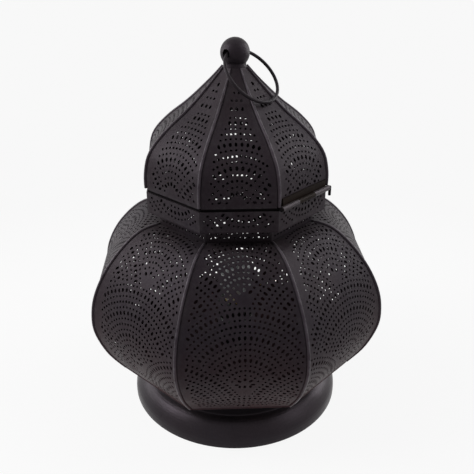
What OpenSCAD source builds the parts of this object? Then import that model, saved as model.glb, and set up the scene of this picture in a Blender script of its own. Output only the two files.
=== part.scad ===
// Eight-sided pierced metal table lantern: a bulbous body of eight curved panels on a spun foot,
// an onion-shaped lid of eight panels hinged to the collar, and a ring in the ball on top.
// The front panel faces -Y, the hinge is on the panel to its right, and the foot stands on z = 0.

/* [Foot] */
// Outer diameter of the foot
foot_d = 147; // [140:1:150]
// Diameter of the throat between the foot and the floor
throat_d = 124; // [110:1:126]
// Height of the foot's shoulder
shoulder_h = 17.8; // [15:0.1:20]

/* [Body] */
// Height of the floor's top face, where the body panels start
floor_h = 37; // [36:0.5:40]
// Width of the body across its corners
body_d = 202; // [190:1:210]
// Height of the body panels
body_h = 102.5; // [98:0.5:106]
// Thickness of the panels
sheet = 1; // [0.8:0.1:1.2]
// Width of the raised rib over each seam
rib_w = 3; // [2:0.1:4]
// How far a rib stands out of the panels
rib_proud = 0.8; // [0.4:0.1:1.2]

/* [Neck and collar] */
// Width of the neck across its corners
neck_d = 104; // [100:1:108]
// Width of the collar across its corners
collar_d = 120; // [116:1:124]
// Height of the collar's band
collar_band_h = 14.6; // [12:0.1:16]

/* [Lid] */
// Width of the lid across its corners
lid_d = 120; // [116:1:124]
// Height of the lid panels
lid_h = 67; // [64:0.5:70]
// Gap between the collar and the lid
lid_gap = 1; // [0.8:0.1:1.2]

/* [Finial and ring] */
// Diameter of the ball
ball_d = 17.8; // [17:0.1:18.5]
// Radius of the bore through the ball
ring_bore_r = 2.6; // [2.5:0.05:2.8]
// Diameter of the ring at the middle of its wire
ring_d = 37.8; // [37:0.1:38.5]
// Diameter of the ring's wire
ring_wire_d = 2; // [1.8:0.1:2.1]
// Compass angle of the ball's bore, from the front towards the right
ring_turn = -41; // [-50:1:-35]
// How far below level the ring hangs where it leans on the lid
ring_droop = 44.5; // [40:0.5:45]

/* [Piercing] */
// Radius of the outer arc of holes in one fan
fan_r = 46; // [44:0.5:48]
// Height from one row of fans to the next
fan_rise = 27.65; // [26:0.05:29]
// Distance between the arcs of a fan
arc_step = 6.85; // [6:0.05:8]
// Distance between the holes along an arc
hole_step = 5.2; // [4.6:0.1:6]
// Radius of the larger holes
hole_r = 1.1; // [0.8:0.05:1.2]

/* [Lamp] */
// Diameter of the bulb's glass
bulb_d = 24; // [22:1:26]
// Height of the top of the bulb
bulb_top = 107; // [100:1:112]
// Radius of the cable inlet's bore
cable_r = 3.1; // [2.5:0.1:3.5]

/* [Hidden] */
SIDES = 8;
STEP = 360 / SIDES;
HALF = STEP / 2;
FLAT = cos(HALF);              // across the flats for each unit across the corners
HINGE_SIDE = 1;                // panels are counted from the front towards the right
LATCH_SIDE = 5;
$fn = 64;

// Colours
BLACK = "#2a2729";
DARK = "#3a3638";
STEEL = "#8d8d90";
BRASS = "#b08d4f";

// Heights that follow from the sizes above
floor_t = 1.2;
body_top = floor_h + body_h;
flange_z = body_top + 8;
flange_t = 1.2;
collar_z = flange_z + flange_t;
collar_top = collar_z + collar_band_h;
lid_z = collar_top + lid_gap;
lid_top = lid_z + lid_h;
ball_z = lid_top + 10.3;
bore_z = ball_z + 0.4;
cap_h = 3.6;

// Points of a curve that runs smoothly through the points p, with n steps between each two
function clamp_at(p, i) = p[max(0, min(len(p) - 1, i))];
function through(a, b, c, d, t) = 0.5 * (2 * b + (c - a) * t + (2 * a - 5 * b + 4 * c - d) * t * t
    + (3 * b - a - 3 * c + d) * t * t * t);
function smooth(p, n) = concat(
    [for (i = [0:len(p) - 2], k = [0:n - 1])
        through(clamp_at(p, i - 1), p[i], p[i + 1], clamp_at(p, i + 2), k / n)],
    [p[len(p) - 1]]);

// A sheet's outline: the curve, and the same curve moved inwards by the thickness t
function unit(v) = v / norm(v);
function outward(p, i) =
    let (d = unit(clamp_at(p, i + 1) - clamp_at(p, i - 1))) [d[1], -d[0]];
function moved(p, t) = [for (i = [0:len(p) - 1]) p[i] - t * outward(p, i)];
function backwards(p) = [for (i = [len(p) - 1:-1:0]) p[i]];
function band(p, t) = concat(p, backwards(moved(p, t)));
function scaled(p, r, h, z) = [for (q = p) [q[0] * r, q[1] * h + z]];
function flattened(p) = [for (q = p) [q[0] * FLAT, q[1]]];

// The body and lid seen from the side, as shares of their radius and height
BODY_CURVE = [[0.79, -0.03], [0.817, 0], [0.921, 0.146], [0.99, 0.317], [1, 0.45], [0.97, 0.595],
    [0.888, 0.75], [0.765, 0.89], [0.64, 0.977], [0.5, 1]];
LID_CURVE = [[1, -0.04], [1, 0.145], [0.942, 0.335], [0.767, 0.512], [0.517, 0.69], [0.262, 0.895],
    [0.14, 1.02]];
body_seam = smooth(scaled(BODY_CURVE, body_d / 2, body_h, floor_h), 3);
lid_seam = smooth(scaled(LID_CURVE, lid_d / 2, lid_h, lid_z), 4);
body_side = flattened(body_seam);
lid_side = flattened(lid_seam);

// Distance along a curve, the point there, and its outward direction
function lengths(p) = [for (i = 0, s = 0; i < len(p);
    s = s + (i + 1 < len(p) ? norm(p[i + 1] - p[i]) : 0), i = i + 1) s];
function piece_at(l, s) = len([for (v = l) if (v <= s) 1]) - 1;
function along(p, l, s) =
    let (i = min(len(p) - 2, piece_at(l, s)), t = (s - l[i]) / (l[i + 1] - l[i]))
    p[i] * (1 - t) + p[i + 1] * t;
function facing(p, l, s) = outward(p, min(len(p) - 2, piece_at(l, s)));

// Holes of overlapping fans, as [across, along, radius]. Fans stand in rows, each row hides the
// lower part of the fans above it, and every second row is shifted by half a fan.
fan_edge = 5;                  // plain band outside the outer arc
function fans(rows, first) = [for (j = [0:rows - 1],
    x = j % 2 == 0 ? [0] : [-fan_r - fan_edge / 2, fan_r + fan_edge / 2]) [x, first + j * fan_rise, j]];
function hidden(f, all, q) = len([for (g = all)
    if (g[2] < f[2] && norm([g[0], g[1]] - q) < fan_r + fan_edge) 1]) > 0;
function fan_holes(all) = [for (f = all, k = [0:floor(fan_r / arc_step)])
    let (r = fan_r - k * arc_step, n = floor(PI * r / hole_step))
    for (i = [0:n])
        let (a = 180 * (i + (k % 2) / 2) / n, q = [f[0] + r * cos(a), f[1] + r * sin(a)])
        if (a < 181 && !hidden(f, all, q)) [q[0], q[1], k % 2 == 0 ? hole_r : 0.75 * hole_r]];
function kept(holes, p, l, low, high, margin) = [for (h = holes)
    if (h[1] > low && h[1] < high && abs(h[0]) < along(p, l, h[1])[0] * tan(HALF) - margin) h];

module on_side(i) rotate([0, 0, STEP * i]) children();
module on_seam(i) rotate([0, 0, STEP * i + HALF]) children();
// Turns a side view, drawn as [distance from the axis, height], to face the front
module side_view(w) rotate([90, 0, -90]) linear_extrude(w, center = true) children();
module octagon(corner_d) rotate(HALF) circle(d = corner_d, $fn = SIDES);

// The part of the plan that belongs to one panel, between its two ribs
module panel_plan(inner, outer) {
    w0 = inner * tan(HALF) - rib_w / 2 / FLAT;
    w1 = outer * tan(HALF) - rib_w / 2 / FLAT;
    polygon([[-w0, -inner], [w0, -inner], [w1, -outer], [-w1, -outer]]);
}

module pierced(p, holes, z0, z1, inner, outer) {
    l = lengths(p);
    difference() {
        intersection() {
            side_view(outer) polygon(band(p, sheet));
            translate([0, 0, z0]) linear_extrude(z1 - z0) panel_plan(inner, outer);
        }
        for (h = holes) {
            q = along(p, l, h[1]);
            d = facing(p, l, h[1]);
            translate([h[0], -q[0], q[1]]) rotate([atan2(d[0], d[1]), 0, 0])
                cylinder(h = 5, r = h[2], center = true, $fn = 16);
        }
    }
}

module rib(p, z0, z1, inner, outer) {
    intersection() {
        side_view(rib_w) polygon(band(moved(p, -rib_proud), rib_proud + sheet));
        translate([-rib_w, -outer, z0]) cube([2 * rib_w, outer - inner, z1 - z0]);
    }
}

BODY_L = lengths(body_side);
BODY_HOLES = kept(fan_holes(fans(6, -16.3)), body_side, BODY_L, 9, 124, 5.5);
LID_L = lengths(lid_side);
LID_HOLES = kept(fan_holes(fans(5, 8 - 2 * fan_rise)), lid_side, LID_L, 8, 74, 5.5);

module body_panel(i) color(BLACK) on_side(i)
    pierced(body_side, BODY_HOLES, floor_h, body_top + 2, neck_d / 2 * FLAT, body_d / 2);
module body_rib(i) color(DARK) on_seam(i)
    rib(body_seam, floor_h, body_top + 2, neck_d / 2 + 0.6, body_d / 2 + 2);
module lid_panel(i) color(BLACK) on_side(i)
    pierced(lid_side, LID_HOLES, lid_z, lid_top, 4.5, lid_d / 2);
module lid_rib(i) color(DARK) on_seam(i)
    rib(lid_seam, lid_z + 2, lid_top, 4.5, lid_d / 2 + 2);

// Spun foot: a rolled edge to stand on, a round shoulder, a narrow throat and a flange under the floor
module foot() {
    r = foot_d / 2;
    t = throat_d / 2;
    top = floor_h - floor_t;
    flange_r = t - 10;
    shoulder = smooth([[r, 2.4], [r - 0.7, 7], [r - 3.5, 12], [r - 7, 15.6], [t + 0.5, shoulder_h]], 3);
    throat = smooth([[t, shoulder_h + 1], [t - 1, 27], [t, top]], 3);
    wall = concat(shoulder, throat);
    inner = moved(wall, sheet);
    color(BLACK) difference() {
        rotate_extrude($fn = 128) polygon(concat(
            [[r - 8, 0], [r, 0]], wall, [[flange_r, top], [flange_r, top - sheet], [t - 2, top - sheet]],
            [for (i = [len(inner) - 2:-1:1]) inner[i]], [[r - 1, 1], [r - 8, 1]]));
        translate([0, r, inlet_z]) rotate([90, 0, 0]) cylinder(h = 20, r = bush_r, center = true);
    }
}

module base_cover() color("#5b4a3c") translate([0, 0, sheet])
    cylinder(h = 1.5, r = foot_d / 2 - 2.4, $fn = 128);

module floor_plate() color(BLACK) translate([0, 0, floor_h - floor_t]) linear_extrude(floor_t)
    difference() {
        octagon(2 * body_seam[3][0]);
        circle(r = 5);
    }

// Octagonal neck with a flange that carries the wider collar
module neck() color(BLACK) {
    difference() {
        union() {
            translate([0, 0, body_top - 4]) linear_extrude(flange_z + flange_t - body_top + 4)
                octagon(neck_d);
            translate([0, 0, flange_z]) linear_extrude(flange_t) octagon(collar_d);
        }
        translate([0, 0, body_top - 5]) linear_extrude(20) octagon(neck_d - 2 * sheet / FLAT);
    }
}

// Bent band with a row of large and a row of small holes on each side
module collar() {
    w = collar_d / 2 * sin(HALF) - 5;
    a = collar_d / 2 * FLAT;
    color(BLACK) difference() {
        translate([0, 0, collar_z]) linear_extrude(collar_band_h) difference() {
            octagon(collar_d);
            octagon(collar_d - 2 * sheet / FLAT);
        }
        for (i = [0:SIDES - 1], row = [0:2], x = [-w + (row % 2) * hole_step / 2:hole_step:w])
            on_side(i) translate([x, -a, collar_z + 3.4 + row * 3.6]) rotate([90, 0, 0])
                cylinder(h = 6, r = row % 2 == 0 ? hole_r : 0.75 * hole_r, center = true, $fn = 16);
    }
}

// Hinge along the collar's top edge: two outer knuckles belong to the collar, the middle to the lid
knuckle_r = 1.7;
pin_r = 0.9;
hinge_a = collar_d / 2 * FLAT + 1.87;
hinge_z = collar_top + 0.6;
barrel_w = collar_d * sin(HALF) - 0.4;
middle_w = barrel_w / 3;
leaf_t = 0.6;

module barrel(x0, x1, r) translate([x0, -hinge_a, hinge_z]) rotate([0, 90, 0])
    cylinder(h = x1 - x0, r = r, $fn = 48);

module hinge_leaf_body() {
    inside = collar_d / 2 * FLAT - sheet;
    w = barrel_w - 4;
    color(DARK) on_side(HINGE_SIDE) difference() {
        union() {
            for (s = [-1, 1])
                barrel(s > 0 ? middle_w / 2 + 0.15 : -barrel_w / 2, s > 0 ? barrel_w / 2 : -middle_w / 2 - 0.15,
                    knuckle_r);
            for (s = [-1, 1])
                translate([s > 0 ? middle_w / 2 + 0.15 : -w / 2, -hinge_a, collar_top])
                    cube([w / 2 - middle_w / 2 - 0.15, hinge_a - inside + leaf_t, leaf_t]);
            translate([-w / 2, -inside, collar_top - 8]) cube([w, leaf_t, 8 + leaf_t]);
        }
        barrel(-barrel_w, barrel_w, pin_r);
    }
}

module hinge_leaf_lid() {
    face = lid_d / 2 * FLAT;
    w = barrel_w - 3.6;
    color(DARK) on_side(HINGE_SIDE) difference() {
        union() {
            barrel(-middle_w / 2, middle_w / 2, knuckle_r);
            translate([-w / 2, -face - 1, hinge_z + 1.5]) cube([w, 1, 4.2]);
            translate([-middle_w / 2, -face - 1, hinge_z + 0.5]) cube([middle_w, 1, 2]);
        }
        side_view(2 * w) polygon(concat(lid_side, [[0, lid_top], [0, lid_z - 5]]));
        barrel(-barrel_w, barrel_w, pin_r + 0.05);
    }
}

module hinge_pin() {
    x0 = -barrel_w / 2 - 0.8;
    x1 = barrel_w / 2 + 1.7;
    color(STEEL) on_side(HINGE_SIDE) {
        barrel(x0, x1, pin_r);
        barrel(x0, -barrel_w / 2 - 0.1, 1.2);
        translate([x1, -hinge_a, hinge_z]) sphere(r = pin_r, $fn = 32);
        translate([x1, -hinge_a, hinge_z - 5.5]) cylinder(h = 5.5, r = pin_r, $fn = 32);
    }
}

// Stiffening band inside the lid's lower edge, and the spring tongue that grips the collar
module lid_hem() {
    outer = lid_d - 2 * sheet / FLAT;
    color(DARK) translate([0, 0, lid_z + 0.4]) linear_extrude(4) difference() {
        octagon(outer);
        octagon(outer - 2.2);
    }
}

module lid_tongue() {
    face = lid_d / 2 * FLAT - sheet - 1.1 * FLAT;
    color(STEEL) on_side(LATCH_SIDE) translate([-5, -face, lid_z - 5.6]) cube([10, 0.5, 9.6]);
}

module finial_cap() color(BLACK) difference() {
    translate([0, 0, lid_top]) rotate_extrude($fn = 96)
        polygon(concat([[2.5, 0], [9.6, 0]], smooth([[9.6, 0.6], [7.4, 1.6], [6.6, cap_h]], 4), [[2.5, cap_h]]));
    translate([0, 0, ball_z]) sphere(d = ball_d, $fn = 96);
}

module finial_ball() color(BLACK) difference() {
    translate([0, 0, ball_z]) sphere(d = ball_d, $fn = 96);
    translate([0, 0, bore_z]) rotate([90, 0, ring_turn]) cylinder(h = 2 * ball_d, r = ring_bore_r, center = true);
    translate([0, 0, ball_z - ball_d]) cylinder(h = ball_d - 4, r = 2.5);
}

module finial_stud() color(STEEL) translate([0, 0, lid_top - 12])
    cylinder(h = ball_z - 4 - lid_top + 12, r = 2.5);

washer_z = lid_top - 7;
module finial_washer() color(STEEL) translate([0, 0, washer_z]) difference() {
    cylinder(h = 1, r = 11.6);
    translate([0, 0, -1]) cylinder(h = 3, r = 2.5);
}

module finial_nut() color(STEEL) translate([0, 0, washer_z - 4]) difference() {
    cylinder(h = 4, d = 9.2, $fn = 6);
    translate([0, 0, -1]) cylinder(h = 6, r = 2.5);
}

// The ring runs through the ball's bore, so its middle lies a little off the bore's axis
module carrying_ring() {
    reach = (ring_d / 2 + sqrt(pow(ring_d / 2, 2) - pow(ball_d / 2, 2))) / 2;
    color(BLACK) translate([0, 0, bore_z]) rotate([0, ring_droop, ring_turn]) translate([reach, 0, 0])
        rotate_extrude($fn = 96) translate([ring_d / 2, 0]) circle(d = ring_wire_d, $fn = 32);
}

// Lamp: nipple, nut and washer clamp the lampholder to the floor
nipple_r = 5;
module lamp_nipple() color(BRASS) translate([0, 0, 26]) difference() {
    cylinder(h = 20, r = nipple_r);
    translate([0, 0, -1]) cylinder(h = 22, r = cable_r + 0.5);
}

module nipple_washer() color(STEEL) translate([0, 0, floor_h - floor_t - 1.2]) difference() {
    cylinder(h = 1.2, r = 11);
    translate([0, 0, -1]) cylinder(h = 4, r = nipple_r);
}

module nipple_nut() color(BRASS) translate([0, 0, floor_h - floor_t - 5.2]) difference() {
    cylinder(h = 4, d = 17, $fn = 6);
    translate([0, 0, -1]) cylinder(h = 6, r = nipple_r);
}

module lampholder() color("#1b1b1c") translate([0, 0, floor_h]) difference() {
    rotate_extrude() polygon([[0, 0], [12, 0], [12, 3], [13, 4], [13, 20], [12, 21], [12, 33], [0, 33]]);
    translate([0, 0, -1]) cylinder(h = 13, r = nipple_r);
    translate([0, 0, 11]) cylinder(h = 30, r = 7.6);
}

module holder_contact() color("#e8e4da") translate([0, 0, 48.2]) difference() {
    cylinder(h = 2.2, r = 7.6);
    translate([0, 0, -1]) cylinder(h = 4, r = 1.5);
}

module bulb_cap() color(BRASS) translate([0, 0, 50.4]) {
    cylinder(h = 2.6, r1 = 2.5, r2 = 5.5);
    translate([0, 0, 2.6]) cylinder(h = 17.4, r = 7);
}

module bulb_glass() {
    r = bulb_d / 2;
    z = 70.4;
    wall = smooth([[6.4, z], [7.4, z + 3], [r - 1.2, z + 9], [r, z + 15], [r, bulb_top - r],
        [r * 0.87, bulb_top - r / 2], [r / 2, bulb_top - r * 0.134], [1.2, bulb_top]], 3);
    color("#e6eef2", 0.35) rotate_extrude() polygon(band(wall, 0.6));
}

// Plastic bush in the back of the foot for the mains cable
bush_r = 4.6;
inlet_z = 8;
module cable_bush() color("#141414") translate([0, foot_d / 2 + 1, inlet_z]) rotate([90, 0, 0]) difference() {
    cylinder(h = 9, r = bush_r);
    translate([0, 0, -1]) cylinder(h = 11, r = cable_r);
}

for (i = [1:SIDES]) {
    body_panel(i - 1);
    body_rib(i - 1);
    lid_panel(i - 1);
    lid_rib(i - 1);
}
foot();
base_cover();
floor_plate();
neck();
collar();
hinge_leaf_body();
hinge_leaf_lid();
hinge_pin();
lid_hem();
lid_tongue();
finial_cap();
finial_ball();
finial_stud();
finial_nut();
finial_washer();
carrying_ring();
lamp_nipple();
nipple_nut();
nipple_washer();
lampholder();
holder_contact();
bulb_glass();
bulb_cap();
cable_bush();
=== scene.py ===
"""Looks of the pierced lantern table lamp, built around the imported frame.

Every piece stands in the record's frame, in metres: the front panel faces -Y, +Z is up and the foot
stands on z = 0. Sides are counted from the front towards the right, and side i is turned 45 i degrees.
"""

import logging
import math
from dataclasses import dataclass
from enum import Enum

import bpy
import numpy as np
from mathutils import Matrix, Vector
from mathutils.geometry import delaunay_2d_cdt


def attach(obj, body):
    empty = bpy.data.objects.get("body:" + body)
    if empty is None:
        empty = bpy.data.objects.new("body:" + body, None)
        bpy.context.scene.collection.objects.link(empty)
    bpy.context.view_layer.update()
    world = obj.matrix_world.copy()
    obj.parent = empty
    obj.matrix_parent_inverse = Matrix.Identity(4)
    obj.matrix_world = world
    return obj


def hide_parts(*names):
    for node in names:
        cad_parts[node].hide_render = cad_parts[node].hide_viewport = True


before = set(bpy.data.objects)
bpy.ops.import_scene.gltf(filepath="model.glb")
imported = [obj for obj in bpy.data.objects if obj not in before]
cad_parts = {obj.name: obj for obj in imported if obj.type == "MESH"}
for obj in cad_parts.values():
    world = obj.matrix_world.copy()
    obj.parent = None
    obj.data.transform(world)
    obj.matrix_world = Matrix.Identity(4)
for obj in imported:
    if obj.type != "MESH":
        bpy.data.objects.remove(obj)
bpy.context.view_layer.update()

Socket = bpy.types.NodeSocket
Rgb = tuple[float, float, float]
Place = tuple[float, float, float]
Face = tuple[int, ...]

LOG = logging.getLogger("lantern")
MM = 0.001
SIDES = 8
TURN = 2 * math.pi / SIDES
HALF = TURN / 2
FLAT = math.cos(HALF)    # across the flats for each unit across the corners
RIGHT = (1.0, 0.0, 0.0)
UP = (0.0, 0.0, 1.0)


class Body(Enum):
    """The bodies that the pieces made here ride on."""

    LANTERN = "lantern"
    LID = "lid"


class Noise(Enum):
    """Noises of the finishes, as scale for each metre, detail and roughness."""

    STAINS = (17.0, 3.0, 0.5)
    PATCHES = (21.0, 3.0, 0.55)
    RIPPLES = (40.0, 2.0, 0.5)
    CLOUDS = (60.0, 4.0, 0.6)
    SMEARS = (110.0, 3.0, 0.5)
    TARNISH = (160.0, 4.0, 0.6)
    CHIPS = (230.0, 4.0, 0.65)
    SPECKLES = (900.0, 3.0, 0.7)
    NAP = (1300.0, 5.0, 0.7)


SPAN = (0.3, 0.7)        # where nearly all values of a noise lie


# ---------------------------------------------------------------- node helpers


class Tree:
    """A shader node tree, written from left to right."""

    def __init__(self, tree: bpy.types.NodeTree) -> None:
        """Starts with an empty tree.

        Args:
            tree: the node tree of a material, world or node group.
        """
        self.tree = tree
        self.tree.nodes.clear()
        self.column = 0

    def add(self, kind: str, inputs: dict | None = None, **settings: object) -> bpy.types.Node:
        """Adds a node.

        Args:
            kind: the node's type, without the leading ShaderNode.
            inputs: values or sockets by the input's name or number.
            settings: properties of the node itself.

        Returns:
            The new node.
        """
        node = self.tree.nodes.new(kind if kind.startswith("Node") else "ShaderNode" + kind)
        node.location = (self.column * 190, -(self.column % 3) * 160)
        self.column += 1
        for name, value in settings.items():
            setattr(node, name, value)
        for name, value in (inputs or {}).items():
            self.feed(node.inputs[name], value)
        return node

    def feed(self, socket: Socket, value: object) -> None:
        """Links a socket to an input, or sets the input's own value.

        Args:
            socket: the input.
            value: an output socket, a number or a tuple.
        """
        if isinstance(value, Socket):
            self.tree.links.new(value, socket)
        else:
            socket.default_value = value

    def math(self, operation: str, a: object, b: object = 0.0, clamp: bool = False) -> Socket:
        """Adds a Math node and returns its output.

        Args:
            operation: the node's operation.
            a: its first value or socket.
            b: its second one.
            clamp: whether the result is kept between 0 and 1.

        Returns:
            The result.
        """
        return self.add("Math", {0: a, 1: b}, operation=operation, use_clamp=clamp).outputs[0]

    def remap(self, value: object, low: float, high: float, to_low: float = 0.0,
              to_high: float = 1.0) -> Socket:
        """Adds a Map Range node, which takes low to to_low and high to to_high, and returns its output."""
        return self.add("MapRange", {0: value, 1: low, 2: high, 3: to_low, 4: to_high}).outputs[0]

    def mix(self, share: object, a: object, b: object, blend: str = "MIX") -> Socket:
        """Mixes two colours.

        Args:
            share: how much of the second one shows.
            a: the first colour.
            b: the second colour.
            blend: the way of mixing.

        Returns:
            The mixed colour.
        """
        node = self.add("Mix", data_type="RGBA", blend_type=blend)
        self.feed(node.inputs[0], share)
        self.feed(node.inputs[6], a)
        self.feed(node.inputs[7], b)
        return node.outputs[2]

    def noise(self, vector: object, scale: object, detail: float, rough: float) -> Socket:
        """Adds a Noise Texture and returns its value, which lies around one half."""
        settings = {"Vector": vector, "Scale": scale, "Detail": detail, "Roughness": rough}
        return self.add("TexNoise", settings).outputs[0]


def colour(rgb: Rgb) -> tuple[float, float, float, float]:
    """A linear colour with full opacity."""
    return (*rgb, 1.0)


def new_group(name: str, inputs: dict[str, object],
              outputs: dict[str, str]) -> tuple[Tree, bpy.types.Node, bpy.types.Node]:
    """Starts a shader node group.

    Args:
        name: the group's name.
        inputs: default values by name. A tuple makes a colour, a number a value, None a vector.
        outputs: the kind of socket, Color or Float, by name.

    Returns:
        The tree, its input node and its output node.
    """
    group = bpy.data.node_groups.new(name, "ShaderNodeTree")
    for key, value in inputs.items():
        kind = "Vector" if value is None else "Color" if isinstance(value, tuple) else "Float"
        socket = group.interface.new_socket(key, in_out="INPUT", socket_type="NodeSocket" + kind)
        if value is not None:
            socket.default_value = value
    for key, kind in outputs.items():
        group.interface.new_socket(key, in_out="OUTPUT", socket_type="NodeSocket" + kind)
    tree = Tree(group)
    return tree, tree.add("NodeGroupInput"), tree.add("NodeGroupOutput")


class Effects:
    """Shader node groups that more than one finish uses."""

    _made: dict[str, bpy.types.NodeTree] = {}

    @classmethod
    def get(cls, name: str) -> bpy.types.NodeTree:
        """Builds the group of that name the first time, and finds it later.

        Args:
            name: grain, wear, dust or lathe.

        Returns:
            The group.
        """
        if name not in cls._made:
            cls._made[name] = getattr(cls, "_" + name)()
        return cls._made[name]

    @staticmethod
    def _grain() -> bpy.types.NodeTree:
        """Fine sprayed grain and slow patches of tint, as on powder coat.

        Returns:
            The group, which puts out a colour, a roughness and a height.
        """
        tree, given, out = new_group(
            "powder_grain",
            {"Vector": None, "Colour": (0.03, 0.03, 0.03, 1.0), "Tint": (0.04, 0.03, 0.03, 1.0),
             "Tint Share": 0.5, "Roughness": 0.5, "Grain Size": 0.0006},
            {"Colour": "Color", "Roughness": "Float", "Height": "Float"})
        get = given.outputs
        fine_scale = tree.math("DIVIDE", 1.0, get["Grain Size"])
        fine = tree.noise(get["Vector"], fine_scale, 2.0, 0.55)
        specks = tree.noise(get["Vector"], tree.math("MULTIPLY", fine_scale, 0.32), 3.0, 0.6)
        patches = tree.noise(get["Vector"], *Noise.PATCHES.value)
        clouds = tree.noise(get["Vector"], *Noise.CLOUDS.value)
        share = tree.math("MULTIPLY", tree.remap(patches, 0.38, 0.62), get["Tint Share"])
        tinted = tree.mix(share, get["Colour"], get["Tint"])
        shade = tree.math("ADD", tree.remap(clouds, *SPAN, -0.14, 0.14),
                          tree.remap(specks, *SPAN, 0.88, 1.12))
        grey = tree.add("CombineColor", {0: shade, 1: shade, 2: shade}).outputs[0]
        tree.feed(out.inputs["Colour"], tree.mix(1.0, tinted, grey, "MULTIPLY"))
        uneven = tree.math("ADD", tree.remap(clouds, *SPAN, -0.05, 0.05),
                           tree.remap(fine, *SPAN, -0.03, 0.03))
        tree.feed(out.inputs["Roughness"], tree.math("ADD", get["Roughness"], uneven, clamp=True))
        tree.feed(out.inputs["Height"], tree.math("ADD", fine, tree.math("MULTIPLY", specks, 0.6)))
        return tree.tree

    @staticmethod
    def _wear() -> bpy.types.NodeTree:
        """Paint worn off along the edges that the mesh marks; on the seam beads' crowns it also paints a
        highlight.

        Returns:
            The group, which puts out a colour and a roughness.
        """
        tree, given, out = new_group(
            "edge_wear_and_highlight",
            {"Vector": None, "Colour": (0.03, 0.03, 0.03, 1.0), "Rubbed And Highlight": (0.1, 0.09, 0.09, 1.0),
             "Edge": 0.0, "Amount": 0.5, "Roughness": 0.5},
            {"Colour": "Color", "Roughness": "Float"})
        get = given.outputs
        broken = tree.remap(tree.noise(get["Vector"], *Noise.CHIPS.value), 0.36, 0.66)
        mask = tree.math("MULTIPLY", tree.math("MULTIPLY", get["Edge"], broken), get["Amount"], clamp=True)
        tree.feed(out.inputs["Colour"], tree.mix(mask, get["Colour"], get["Rubbed And Highlight"]))
        smoother = tree.math("MULTIPLY", mask, -0.16)
        tree.feed(out.inputs["Roughness"], tree.math("ADD", get["Roughness"], smoother, clamp=True))
        return tree.tree

    @staticmethod
    def _dust() -> bpy.types.NodeTree:
        """A thin veil of dust on what faces up.

        Returns:
            The group, which puts out a colour.
        """
        tree, given, out = new_group(
            "dust",
            {"Vector": None, "Colour": (0.03, 0.03, 0.03, 1.0), "Dust": (0.07, 0.062, 0.058, 1.0),
             "Amount": 0.2},
            {"Colour": "Color"})
        get = given.outputs
        facing = tree.add("TexCoord").outputs["Normal"]
        upward = tree.remap(tree.add("SeparateXYZ", {0: facing}).outputs[2], 0.25, 1.0)
        speckled = tree.remap(tree.noise(get["Vector"], *Noise.SPECKLES.value), 0.42, 0.7)
        veil = tree.math("MULTIPLY", tree.math("MULTIPLY", upward, get["Amount"]), speckled, clamp=True)
        tree.feed(out.inputs["Colour"], tree.mix(veil, get["Colour"], get["Dust"]))
        return tree.tree

    @staticmethod
    def _lathe() -> bpy.types.NodeTree:
        """Fine rings left by spinning or turning about the part's axis.

        Returns:
            The group, which puts out a height and the rings' plain value.
        """
        tree, given, out = new_group(
            "lathe_rings", {"Vector": None, "Spacing": 0.0008, "Depth": 0.5},
            {"Height": "Float", "Value": "Float"})
        get = given.outputs
        x, y, z = tree.add("SeparateXYZ", {0: get["Vector"]}).outputs
        squares = tree.math("ADD", tree.math("MULTIPLY", x, x), tree.math("MULTIPLY", y, y))
        line = tree.math("ADD", tree.math("SQRT", squares), tree.math("MULTIPLY", z, -0.7))
        along = tree.math("DIVIDE", line, get["Spacing"])
        bands = tree.add("CombineXYZ", {0: along, 1: 0.0, 2: 0.0}).outputs[0]
        rings = tree.noise(bands, 1.0, 2.0, 0.6)
        tree.feed(out.inputs["Value"], rings)
        tree.feed(out.inputs["Height"], tree.math("MULTIPLY", rings, get["Depth"]))
        return tree.tree


# -------------------------------------------------------------------- finishes


@dataclass(frozen=True)
class Finish:
    """A surface finish, from which one material is made.

    Attributes:
        name: the material's name.
        colour: linear base colour.
        roughness: mean roughness.
        slot: the record's material slot; not used.
    """

    name: str
    colour: Rgb
    roughness: float
    slot: str

    def material(self) -> bpy.types.Material:
        """Makes the material, or finds it where it is made already.

        Returns:
            The material.
        """
        found = bpy.data.materials.get(self.name)
        if found:
            return found
        made = bpy.data.materials.new(self.name)
        made.use_nodes = True
        tree = Tree(made.node_tree)
        place = tree.add("TexCoord").outputs["Object"]
        shader = tree.add("BsdfPrincipled")
        self.dress(tree, place, shader)
        tree.add("OutputMaterial", {"Surface": shader.outputs[0]})
        return made

    def dress(self, tree: Tree, place: Socket, shader: bpy.types.Node) -> None:
        """Connects the finish's nodes to the shader.

        Args:
            tree: the material's tree.
            place: the object coordinates.
            shader: the Principled BSDF.
        """
        raise NotImplementedError

    @staticmethod
    def use(tree: Tree, name: str, inputs: dict[str, object]) -> bpy.types.bpy_prop_collection:
        """Places a shared effect.

        Args:
            tree: the material's tree.
            name: the effect, as Effects.get knows it.
            inputs: values or sockets by the input's name.

        Returns:
            The outputs of the effect's node.
        """
        node = tree.add("Group")
        node.node_tree = Effects.get(name)
        for key, value in inputs.items():
            tree.feed(node.inputs[key], value)
        return node.outputs

    @staticmethod
    def bump(tree: Tree, shader: bpy.types.Node, height: object, distance: float) -> None:
        """Feeds a height, as deep as the distance in metres, to the shader's normal."""
        node = tree.add("Bump", {"Height": height, "Distance": distance, "Strength": 1.0})
        tree.feed(shader.inputs["Normal"], node.outputs[0])


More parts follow.
